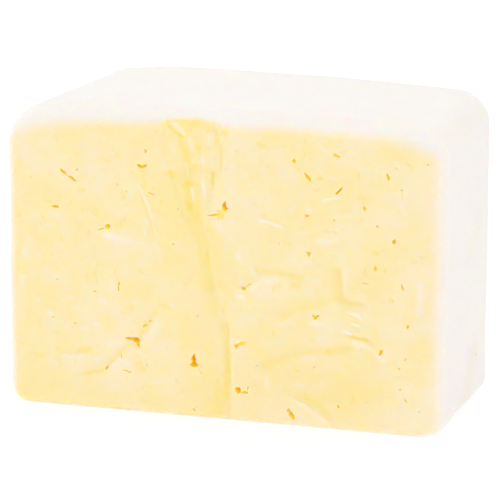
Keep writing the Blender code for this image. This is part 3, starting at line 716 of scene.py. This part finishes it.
def line_depth(places, line):
    """How deep a line is at places across and up the side that it is drawn on, all in mm."""
    nearest = np.full(len(places), np.inf)
    reach = np.full(len(places), line.reach)
    for start, end in zip(line.points, line.points[1:]):
        run = np.array(end) - np.array(start)
        gap = places - np.array(start)
        share = np.clip(gap @ run / (run @ run), 0, 1)
        gap = gap - share[:, None] * run
        away = np.hypot(gap[:, 0], gap[:, 1])
        turn = run[0] * gap[:, 1] - run[1] * gap[:, 0]
        closer = away < nearest
        nearest = np.where(closer, away, nearest)
        reach = np.where(closer, np.where(turn > 0, line.reach, line.back_reach), reach)
    return line.depth * fade(nearest / reach)


def add_up_lines(places, near, lines):
    """The depths of all the lines together at the places that are near them, and 0 elsewhere."""
    total = np.zeros(len(places))
    for line in lines:
        total[near] += line_depth(places[near], line)
    return total


def dent_depth(points):
    """Depth of the soft dents of the right-hand skin."""
    total = 0
    for along, up, radius, depth in SIDE_DENTS:
        away = np.hypot(points[:, 1] / MM - along, points[:, 2] / MM - up)
        total = total + depth * fade(away / radius)
    return total * MM


def cut_share(points):
    """1 on the yellow cut face, easing to 0 on the skin around it."""
    x, z = points[:, 0] / MM, points[:, 2] / MM
    top_x, top_z, top_fade = np.array(CUT_TOP).T
    share = fade((z - np.interp(x, top_x, top_z)) / np.interp(x, top_x, top_fade) + 0.5)
    for gap, width in ((CUT_LEFT[0] - x, CUT_LEFT[1]), (x - CUT_RIGHT[0], CUT_RIGHT[1]),
                       (CUT_BOTTOM[0] - z, CUT_BOTTOM[1])):
        share *= fade(gap / width + 0.5)
    return share * fade((points[:, 1] + HALF[1]) / FACE_REACH)


def shift_to_solid(places):
    """How far the shaped points move so that their box has the solid's middle and foot."""
    low, high = (np.array(corner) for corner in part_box("cheddar_block"))
    shift = (low + high) / 2 - (places.min(axis=0) + places.max(axis=0)) / 2
    shift[2] = low[2] - places[:, 2].min()
    return shift


def shape_block(block):
    """Rounds, swells and dents the blank, sets it where the solid is, and keeps its values."""
    mesh = block.data
    rounded = round_blank(read_points(mesh))
    places = rounded + mix_corners(CORNER_SHIFT, rounded / HALF) + swelling(rounded)
    places[:, 2] += HALF[2]
    front = fade((rounded[:, 1] + HALF[1]) / FACE_REACH)
    right = fade((HALF[0] - rounded[:, 0]) / FACE_REACH)
    sunk = RELIEF_SHARE * add_up_lines(places[:, (0, 2)] / MM, front > 0, FACE_LINES)
    places[:, 1] += sunk * MM * front
    places[:, 0] -= dent_depth(places) * right
    places += shift_to_solid(places)
    write_points(mesh, places)
    # Marks of painted shade and highlight on the cut face, with some curd tone, and painted shade in the
    # dents of the right-hand skin
    face_tone_and_light = add_up_lines(places[:, (0, 2)] / MM, front > 0, FACE_TONE_AND_LIGHT_MARKS)
    side_dent_shade = add_up_lines(places[:, 1:] / MM, right > 0, SIDE_DENT_SHADE_MARKS)
    side = right * (1 - front)
    add_point_values(mesh, "sunk", sunk * front)
    add_point_values(mesh, "tone_and_light_mark", face_tone_and_light * front + side_dent_shade * side)
    add_point_values(mesh, "side", side)
    add_point_values(mesh, "cut", cut_share(places) * (front > 0))


# Openings

def make_cutter(opening, tree, index, turn):
    """A ragged lens for one opening, its middle on the side that a turn about Z faces."""
    draw = random.Random(SEED + index)
    facing = Matrix.Rotation(turn, 4, "Z")
    start = facing @ Vector((opening.x * MM, -LENGTH, opening.z * MM))
    hit = tree.ray_cast(start, facing @ Vector((0, 1, 0)))[0]
    rounds = LARGE_ROUNDS if opening.length > LARGE_OPENING else SMALL_ROUNDS
    deselect_all()
    bpy.ops.mesh.primitive_ico_sphere_add(subdivisions=rounds, radius=1, location=(0, 0, 0))
    cutter = bpy.context.object
    for item in cutter.data.vertices:
        along, inward, across = item.co
        pointed = (1 - min(along * along, 1)) ** POINTEDNESS
        swollen = 1 + SWELLING * noise.noise(Vector((along * SWELL_RATE, inward, SWELL_STEP * index)))
        bent = BENDING * noise.noise(Vector((along * BEND_RATE, BEND_ROW, BEND_STEP * index)))
        across = across * pointed * swollen * (1 - opening.taper * along) + bent
        ragged = 1 + draw.uniform(-RAGGEDNESS, RAGGEDNESS) * SCATTER
        item.co = Vector((along * ragged, inward * ragged, across * ragged))
    size = (opening.length / 2 * MM, opening.depth * OPENING_DEPTH * MM, opening.width / 2 * MM)
    tilted = Matrix.Rotation(-math.radians(opening.tilt), 4, "Y")
    cutter.data.transform(Matrix.Translation(hit) @ facing @ tilted @ Matrix.Diagonal((*size, 1)))
    return cutter


def draw_pinholes():
    """The pinholes as small openings, each with its own width, length and tilt."""
    draw = random.Random(SEED)
    holes = []
    for x, z in PINHOLES:
        width = PINHOLE_WIDTH * draw.uniform(*PINHOLE_SPREAD)
        length = width * draw.uniform(*PINHOLE_STRETCH)
        holes.append(Opening(x, z, length, width, draw.uniform(-90, 90), width * PINHOLE_DEPTH, 0))
    return holes


def cut_openings(block, tree, hollow):
    """Cuts the openings, pinholes and side pits out of the block with one joined cutter."""
    holes = [*OPENINGS, *draw_pinholes()]
    cutters = [make_cutter(hole, tree, index, 0) for index, hole in enumerate(holes)]
    cutters += [make_cutter(pit, tree, index, math.pi / 2) for index, pit in enumerate(SIDE_PITS)]
    select_only(cutters[0])
    for cutter in cutters:
        cutter.select_set(True)
    bpy.ops.object.join()
    cutter = bpy.context.object
    cutter.data.materials.clear()
    cutter.data.materials.append(hollow)
    block.data.materials.append(hollow)
    select_only(block)
    cut = block.modifiers.new("openings", "BOOLEAN")
    cut.operation = "DIFFERENCE"
    cut.object = cutter
    cut.solver = "EXACT"
    cut.use_self = True
    cut.material_mode = "TRANSFER"
    bpy.ops.object.modifier_apply(modifier=cut.name)
    bpy.data.objects.remove(cutter, do_unlink=True)


def keep_depths(mesh, tree):
    """Keeps how deep each point lies in an opening, under the uncut face, in mm."""
    points = read_points(mesh)
    walls = (face.vertices for face in mesh.polygons if face.material_index == HOLLOW_SLOT)
    depths = np.zeros(len(points))
    for corner in {corner for corners in walls for corner in corners}:
        depths[corner] = tree.find_nearest(Vector(points[corner]))[3] / MM
    add_point_values(mesh, "deep", depths)


# Materials

def new_material(name):
    material = bpy.data.materials.new(name)
    material.use_nodes = True
    return material, material.node_tree.nodes["Principled BSDF"]


def feed(tree, socket, value):
    """Links an output to the socket, or sets the socket to a plain value."""
    if isinstance(value, bpy.types.NodeSocket):
        tree.links.new(value, socket)
    else:
        socket.default_value = value


def add_node(tree, kind, **inputs):
    """Adds a node and feeds its named inputs."""
    node = tree.nodes.new(kind)
    for name, value in inputs.items():
        feed(tree, node.inputs[name], value)
    return node


def do_math(tree, operation, first, second, kind="ShaderNodeMath"):
    node = tree.nodes.new(kind)
    node.operation = operation
    feed(tree, node.inputs[0], first)
    feed(tree, node.inputs[1], second)
    return node.outputs[0]


def mix_colours(tree, share, first, second):
    """A colour between two, by a share of the second."""
    node = tree.nodes.new("ShaderNodeMix")
    node.data_type = "RGBA"
    sockets = {item.identifier: item for item in (*node.inputs, *node.outputs)}
    for name, value in (("Factor_Float", share), ("A_Color", first), ("B_Color", second)):
        feed(tree, sockets[name], value)
    return sockets["Result_Color"]


def map_range(tree, value, low, high, out_low=0.0, out_high=1.0, kind="SMOOTHSTEP"):
    """Maps a value from one range to another, held at both ends."""
    node = add_node(tree, "ShaderNodeMapRange", Value=value)
    node.interpolation_type = kind
    for name, number in (("From Min", low), ("From Max", high), ("To Min", out_low), ("To Max", out_high)):
        node.inputs[name].default_value = number
    return node.outputs["Result"]


def read_value(tree, name):
    """One of the values that the block keeps for each of its points."""
    node = tree.nodes.new("ShaderNodeAttribute")
    node.attribute_name = name
    return node.outputs["Fac"]


def add_noise(tree, place, settings):
    scale, detail, roughness = settings
    return add_node(tree, "ShaderNodeTexNoise", Vector=place, Scale=scale, Detail=detail,
                    Roughness=roughness)


def make_curd_group():
    """Curd mottling from a place in metres: broad tone, pale flecks, small pits and a fine crumb."""
    group = bpy.data.node_groups.new("curd mottling", "ShaderNodeTree")
    group.interface.new_socket("Place", in_out="INPUT", socket_type="NodeSocketVector")
    for name in ("Tone", "Flecks", "Pits", "Crumb"):
        group.interface.new_socket(name, in_out="OUTPUT", socket_type="NodeSocketFloat")
    place = group.nodes.new("NodeGroupInput").outputs["Place"]
    outside = group.nodes.new("NodeGroupOutput")
    drift = add_noise(group, place, DRIFT_NOISE).outputs["Color"]
    drift = do_math(group, "MULTIPLY", drift, (DRIFT, DRIFT, DRIFT), "ShaderNodeVectorMath")
    bent = do_math(group, "ADD", place, drift, "ShaderNodeVectorMath")
    broad = add_noise(group, bent, BROAD_NOISE).outputs[0]
    grain = add_noise(group, bent, GRAIN_NOISE).outputs[0]
    tone = do_math(group, "ADD", do_math(group, "MULTIPLY", broad, BROAD_SHARE),
                   do_math(group, "MULTIPLY", grain, GRAIN_SHARE))
    lying = add_node(group, "ShaderNodeMapping", Vector=bent, Rotation=FLECK_TURN, Scale=FLECK_WAVES)
    fleck = add_noise(group, lying.outputs[0], FLECK_NOISE).outputs[0]
    pit = add_noise(group, bent, PIT_NOISE).outputs[0]
    crumb = add_noise(group, place, CRUMB_NOISE).outputs[0]
    for name, value in (("Tone", tone), ("Flecks", map_range(group, fleck, *FLECK_RANGE)),
                        ("Pits", map_range(group, pit, *PIT_RANGE)), ("Crumb", crumb)):
        group.links.new(value, outside.inputs[name])
    return group


def add_curd(tree, curd):
    """The outputs of the curd mottling, placed in a material on the block's own coordinates."""
    mottling = tree.nodes.new("ShaderNodeGroup")
    mottling.node_tree = curd
    place = tree.nodes.new("ShaderNodeTexCoord").outputs["Object"]
    tree.links.new(place, mottling.inputs["Place"])
    return mottling.outputs


def add_bump(tree, shader, height, strength, distance):
    bump = add_node(tree, "ShaderNodeBump", Height=height, Strength=strength, Distance=distance)
    tree.links.new(bump.outputs["Normal"], shader.inputs["Normal"])


def set_flesh(shader):
    """Light that goes a little way into the cheese and comes out again."""
    shader.inputs["Subsurface Weight"].default_value = 1.0
    shader.inputs["Subsurface Radius"].default_value = FLESH_RADII
    shader.inputs["Subsurface Scale"].default_value = FLESH_SCALE
    shader.inputs["IOR"].default_value = FLESH_IOR


def make_cheese_material(curd):
    """The yellow cut face and the paler skin, pale partly of its own and partly as painted highlight, which
    meet along the rim of the cut.
    """
    material, shader = new_material("cheddar")
    tree = material.node_tree
    set_flesh(shader)
    tone, flecks, pits, crumb = add_curd(tree, curd)
    sunk, tone_and_light_mark, side, cut = (read_value(tree, name) for name in ("sunk", "tone_and_light_mark", "side", "cut"))
    pale = map_range(tree, tone, *PALE_RANGE)
    face = mix_colours(tree, pale, CUT_MIDDLE, CUT_PALE)
    face = mix_colours(tree, do_math(tree, "MULTIPLY", flecks, FLECK_SHARE), face, FLAKE_AND_HIGHLIGHT)
    face = mix_colours(tree, do_math(tree, "MULTIPLY", pits, PIT_SHARE), face, CUT_DEEP_AND_SHADE)
    # Painted shade in the sunk relief, and painted highlights on the raised relief
    face = mix_colours(tree, map_range(tree, sunk, *SUNK_SHADE_RANGE), face, CUT_DEEP_AND_SHADE)
    face = mix_colours(tree, map_range(tree, sunk, *RAISED_HIGHLIGHT_RANGE), face, FLAKE_AND_HIGHLIGHT)
    # Painted shade and painted highlights from the marks, with some of the curd's own tone
    face = mix_colours(tree, map_range(tree, tone_and_light_mark, *DEEPER_TONE_AND_SHADE_RANGE, kind="LINEAR"), face, CUT_DEEP_AND_SHADE)
    face = mix_colours(tree, map_range(tree, tone_and_light_mark, *PALER_TONE_AND_HIGHLIGHT_RANGE, kind="LINEAR"), face, FLAKE_AND_HIGHLIGHT)
    # The skin's pale tones are partly its own drier colour and partly painted highlight
    skin = mix_colours(tree, pale, SKIN_WARM, SKIN)
    # Painted shade on the right-hand skin
    skin = mix_colours(tree, do_math(tree, "MULTIPLY", side, SIDE_SHADE_SHARE), skin, SKIN_SIDE_SHADE)
    # Painted shade in the right-hand skin's dents and pits
    skin = mix_colours(tree, map_range(tree, tone_and_light_mark, *DENT_SHADE_RANGE), skin, SKIN_DENT_SHADE)
    tree.links.new(mix_colours(tree, cut, skin, face), shader.inputs["Base Color"])
    gloss = map_range(tree, crumb, *CRUMB_RANGE, *ROUGHNESS_RANGE, kind="LINEAR")
    tree.links.new(gloss, shader.inputs["Roughness"])
    height = do_math(tree, "ADD", do_math(tree, "MULTIPLY", crumb, CRUMB_RELIEF),
                     do_math(tree, "MULTIPLY", tone, TONE_RELIEF))
    height = do_math(tree, "SUBTRACT", height, do_math(tree, "MULTIPLY", pits, PIT_RELIEF))
    strength = map_range(tree, cut, 0, 1, *BUMP_RANGE, kind="LINEAR")
    add_bump(tree, shader, height, strength, BUMP_HEIGHT)
    return material


def make_hollow_material(curd):
    """The deep yellow walls of the openings, with painted shade that turns them more orange the deeper they
    go, and a painted glow.
    """
    material, shader = new_material("cheddar hollow")
    tree = material.node_tree
    set_flesh(shader)
    deep = read_value(tree, "deep")
    # Painted shade: the walls turn from the rim's colour to deeper orange the deeper they lie
    colour = mix_colours(tree, map_range(tree, deep, *RIM_RANGE), HOLLOW_RIM, HOLLOW_MIDDLE_SHADE)
    colour = mix_colours(tree, map_range(tree, deep, *DEEP_SHADE_RANGE), colour, HOLLOW_DEEP_SHADE)
    tree.links.new(colour, shader.inputs["Base Color"])
    shader.inputs["Roughness"].default_value = HOLLOW_ROUGHNESS
    shader.inputs["Specular IOR Level"].default_value = HOLLOW_SHINE
    # Painted glow: a faint orange emission that stands in for light coming through the cheese into the
    # openings
    shader.inputs["Emission Color"].default_value = HOLLOW_PAINTED_GLOW
    shader.inputs["Emission Strength"].default_value = HOLLOW_PAINTED_GLOW_POWER
    add_bump(tree, shader, add_curd(tree, curd)["Crumb"], HOLLOW_BUMP, HOLLOW_BUMP_HEIGHT)
    return material


# Stage

def add_camera():
    """The photograph's camera, looking along its fitted line."""
    right = Vector((math.cos(AZIMUTH), math.sin(AZIMUTH), 0))
    back = Vector((math.sin(AZIMUTH) * math.cos(ELEVATION),
                   -math.cos(AZIMUTH) * math.cos(ELEVATION), math.sin(ELEVATION)))
    up = back.cross(right)
    place = Vector((0, 0, AIM_HEIGHT)) + back * DISTANCE + right * AIM_RIGHT + up * AIM_UP
    bpy.ops.object.camera_add(location=place)
    camera = bpy.context.object
    camera.rotation_euler = Matrix((right, up, back)).transposed().to_euler()
    camera.data.sensor_width = SENSOR_WIDTH
    camera.data.lens = LENS_PIXELS / FRAME_WIDTH * SENSOR_WIDTH
    camera.data.clip_start = NEAREST_VIEW
    bpy.context.scene.camera = camera


def add_floor():
    """A plain white light table, far wider than the view."""
    deselect_all()
    bpy.ops.mesh.primitive_plane_add(size=FLOOR_SIZE, location=(0, 0, 0))
    floor = bpy.context.object
    floor.name = "floor"
    material, shader = new_material("pale floor")
    shader.inputs["Base Color"].default_value = FLOOR_GREY
    shader.inputs["Emission Color"].default_value = WHITE
    shader.inputs["Emission Strength"].default_value = FLOOR_GLOW
    shader.inputs["Roughness"].default_value = FLOOR_ROUGHNESS
    shader.inputs["Specular IOR Level"].default_value = 0.0
    floor.data.materials.append(material)


def add_lights():
    """Soft studio light: a bright surround, and a weak wide key from the upper left."""
    world = bpy.data.worlds.new("surround")
    bpy.context.scene.world = world
    world.use_nodes = True
    surround = world.node_tree.nodes["Background"]
    surround.inputs["Color"].default_value = WHITE
    surround.inputs["Strength"].default_value = SURROUND_POWER
    bpy.ops.object.light_add(type="AREA", location=KEY_PLACE)
    key = bpy.context.object
    key.name = "key"
    key.data.size = KEY_SIZE
    key.data.energy = KEY_POWER
    key.rotation_euler = (Vector(KEY_AIM) - Vector(KEY_PLACE)).to_track_quat("-Z", "Y").to_euler()


def main():
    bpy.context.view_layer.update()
    noise.seed_set(SEED)
    deselect_all()
    bpy.context.scene.view_settings.view_transform = "Standard"
    add_camera()
    add_floor()
    add_lights()
    curd = make_curd_group()
    block = cut_blank()
    shape_block(block)
    block.data.materials.append(make_cheese_material(curd))
    uncut = BVHTree.FromObject(block, bpy.context.evaluated_depsgraph_get())
    cut_openings(block, uncut, make_hollow_material(curd))
    keep_depths(block.data, uncut)
    select_only(block)
    bpy.ops.object.shade_smooth_by_angle(angle=RIM_ANGLE)
    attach(block, "root")
    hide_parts("cheddar_block")


main()
